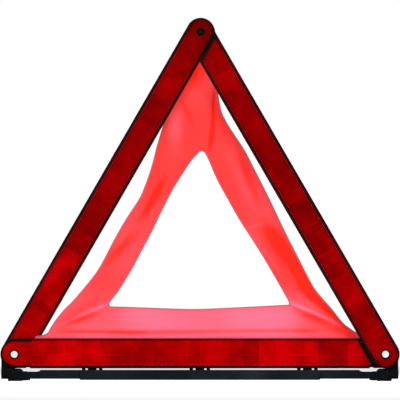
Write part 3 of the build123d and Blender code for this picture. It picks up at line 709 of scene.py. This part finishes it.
def flexing_copy(name, nodes, material):
    """A piece with the CAD nodes' own shape, attached to the right arm, with the nodes themselves hidden."""
    mesh = bmesh.new()
    for node in nodes:
        part = bmesh.new()
        part.from_mesh(NODES[node].data)
        part.transform(NODES[node].matrix_world)
        held = bpy.data.meshes.new("held")
        part.to_mesh(held)
        mesh.from_mesh(held)
        part.free()
    bmesh.ops.remove_doubles(mesh, verts=mesh.verts, dist=1e-6)
    data = bpy.data.meshes.new(name)
    mesh.to_mesh(data)
    mesh.free()
    data.materials.clear()
    data.materials.append(material)
    piece = bpy.data.objects.new(name, data)
    bpy.context.scene.collection.objects.link(piece)
    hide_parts(*nodes)
    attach(piece, "right_arm")
    anchor = RIGHT.at(STRAP_MIDDLE, 0, -STRAP_BASE)
    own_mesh(piece)
    return piece


# ================================================================ dress the frame
def paint(material, *names):
    for name in names:
        data = NODES[name].data
        data.materials.clear()
        data.materials.append(material)


PLASTIC = black_plastic("black_abs", (0.0016, 0.0022, 0.0025), (0.0042, 0.005, 0.0055))
TRAY = black_plastic("black_abs_tray", (0.0035, 0.001, 0.001), (0.0085, 0.0025, 0.0025))
STEEL = painted_steel("black_steel", 0.03)
LEG_STEEL = painted_steel("leg_steel", 0.0)
NICKEL = nickel("nickel_plate")
RUBBER = rubber("black_rubber")
HEM = hem_thread("hem_thread")
CLOTH = fluorescent_cloth("fluorescent_cloth")
SCREW = painted_steel("black_zinc", 0.03)
# painted light and shade along each strip: (run along the strip in metres, brightness)
LEFT_PAINTED_LEVELS = [(0.0, 0.27), (0.1, 0.2), (0.2, 0.113), (0.3, 0.112), (0.37, 0.148), (0.42, 0.102)]
RIGHT_PAINTED_LEVELS = [(0.0, 0.16), (0.1, 0.137), (0.22, 0.099), (0.34, 0.12), (0.4, 0.2)]
BAR_PAINTED_LEVELS = [(-0.21, 0.2), (-0.17, 0.25), (0.0, 0.262), (0.17, 0.2), (0.21, 0.16)]
ARM_BORDER = 10.4 * MM          # half width of the brighter field
BAR_BORDER = 13.6 * MM
RED_LEFT = prism_red("prism_red_left", LEFT, LEFT_PAINTED_LEVELS, ARM_BORDER)
RED_RIGHT = prism_red("prism_red_right", RIGHT, RIGHT_PAINTED_LEVELS, ARM_BORDER)
RED_BAR = prism_red("prism_red_bar", BAR, BAR_PAINTED_LEVELS, BAR_BORDER)
DOT_RED = dot_red("prism_red_dots")

for node in NODES:
    if node.endswith("_leg"):
        paint(LEG_STEEL, node)
    elif node in ("base_rail", "ballast_cover"):
        paint(STEEL, node)
    elif node.startswith("leg_"):
        paint(SCREW, node)
    elif node.endswith("_foot"):
        paint(RUBBER, node)
    elif "rivet" in node:
        paint(NICKEL, node)
    elif "screw" in node or node.endswith("rail_pin"):
        paint(SCREW, node)
    elif node.endswith("_tray"):
        paint(TRAY, node)
    else:
        paint(PLASTIC, node)
paint(mill_steel("mill_steel"), "ballast_bar")
paint(RED_LEFT, "left_arm_reflector")
paint(RED_RIGHT, "right_arm_reflector")
paint(RED_BAR, "bottom_bar_reflector")

ARM_ROW = 11.7 * MM             # from a strip's middle line to a row of dots
ARM_FACE = 2.4 * MM             # from that line forward to the face that the dots stand on
BAR_ROW = 12.3 * MM
BAR_FACE = 3.4 * MM
LEFT_END = 0.408                # where the rows start and end, in metres along the strips
RIGHT_END = 0.385
BAR_START = -0.186
BAR_LOW_END, BAR_HIGH_END = 0.185, 0.174
LEFT_ROWS = [(-ARM_ROW, 0, LEFT_END), (ARM_ROW, 0, LEFT_END)]
RIGHT_ROWS = [(-ARM_ROW, 0, RIGHT_END), (ARM_ROW, 0, RIGHT_END)]
BAR_ROWS = [(-BAR_ROW, BAR_START, BAR_LOW_END), (BAR_ROW, BAR_START, BAR_HIGH_END)]
dot_rows("left_arm_dots", LEFT, "left_arm", LEFT_ROWS, ARM_FACE, DOT_RED)
dot_rows("right_arm_dots", RIGHT, "right_arm", RIGHT_ROWS, ARM_FACE, DOT_RED)
dot_rows("bottom_bar_dots", BAR, "base", BAR_ROWS, BAR_FACE, DOT_RED)

panel = fabric_panel(CLOTH)
hem = fabric_hem(HEM)
ring = eyelet(NICKEL)
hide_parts("fluorescent_fabric")
for piece, slot_name in ((panel, "fluorescent_red"), (hem, "fluorescent_red"), (ring, "nickel")):
    fold_with_cloth(piece)
flexing_copy("snap_strap", ["apex_snap_strap", "fabric_peg_cap"], PLASTIC)


# ================================================================ studio
FLOOR_REACH = 30.0
LAMPS = [                       # name, place, size in metres, power in watts
    ("key", (1.6, -1.9, 1.6), 0.9, 55),
    ("fill", (-1.8, -1.9, 1.1), 1.4, 45),
    ("top", (0.0, -0.4, 2.4), 1.6, 40),
    ("back", (0.4, 2.0, 1.4), 1.4, 30),
]
LAMP_AIM = Vector((0, 0, 0.18))


def studio():
    s = Shader("studio_floor")
    tone = s.ramp(s.noise(0.7, 2), [(0.3, (0.86, 0.86, 0.86)), (0.7, (0.9, 0.9, 0.9))])
    surface = s.principled(tone, 0.9, Emission_Color=(1, 1, 1, 1), Emission_Strength=0.46)
    corners = [(FLOOR_REACH * x, FLOOR_REACH * y, 0) for x, y in ((-1, -1), (1, -1), (1, 1), (-1, 1))]
    floor = add_mesh("studio_floor", corners, [(0, 1, 2, 3)], s.finish(surface), smooth=False)
    world = bpy.data.worlds.new("studio")
    bpy.context.scene.world = world
    world.use_nodes = True
    tree = world.node_tree
    tree.nodes.clear()
    seen = tree.nodes.new("ShaderNodeBackground")
    seen.inputs["Color"].default_value = (1, 1, 1, 1)
    seen.inputs["Strength"].default_value = 1.0
    light = tree.nodes.new("ShaderNodeBackground")
    light.inputs["Color"].default_value = (1, 1, 1, 1)
    light.inputs["Strength"].default_value = 0.38
    path = tree.nodes.new("ShaderNodeLightPath")
    blend = tree.nodes.new("ShaderNodeMixShader")
    out = tree.nodes.new("ShaderNodeOutputWorld")
    tree.links.new(path.outputs["Is Camera Ray"], blend.inputs[0])
    tree.links.new(light.outputs[0], blend.inputs[1])
    tree.links.new(seen.outputs[0], blend.inputs[2])
    tree.links.new(blend.outputs[0], out.inputs[0])
    for settings in LAMPS:
        lamp(*settings)


def lamp(name, place, size, power):
    data = bpy.data.lights.new(name, "AREA")
    data.shape = "SQUARE"
    data.size = size
    data.energy = power
    lamp_object = bpy.data.objects.new(name, data)
    lamp_object.location = place
    aim = LAMP_AIM - Vector(place)
    lamp_object.rotation_euler = aim.to_track_quat("-Z", "Y").to_euler()
    bpy.context.scene.collection.objects.link(lamp_object)


def camera():
    """Far and low, square on to the front, with a long lens."""
    distance, height = 8.0, 0.02
    half_view = 223.1 * MM
    middle = Vector((0.22 * MM, 0, 201.6 * MM))
    data = bpy.data.cameras.new("camera")
    data.sensor_width = 36.0
    data.lens = data.sensor_width / 2 * distance / half_view
    data.clip_end = 100
    view = bpy.data.objects.new("camera", data)
    view.location = (middle.x, -distance, height)
    view.rotation_euler = (middle - view.location).to_track_quat("-Z", "Y").to_euler()
    bpy.context.scene.collection.objects.link(view)
    bpy.context.scene.camera = view
    bpy.context.scene.view_settings.view_transform = "Standard"


studio()
camera()
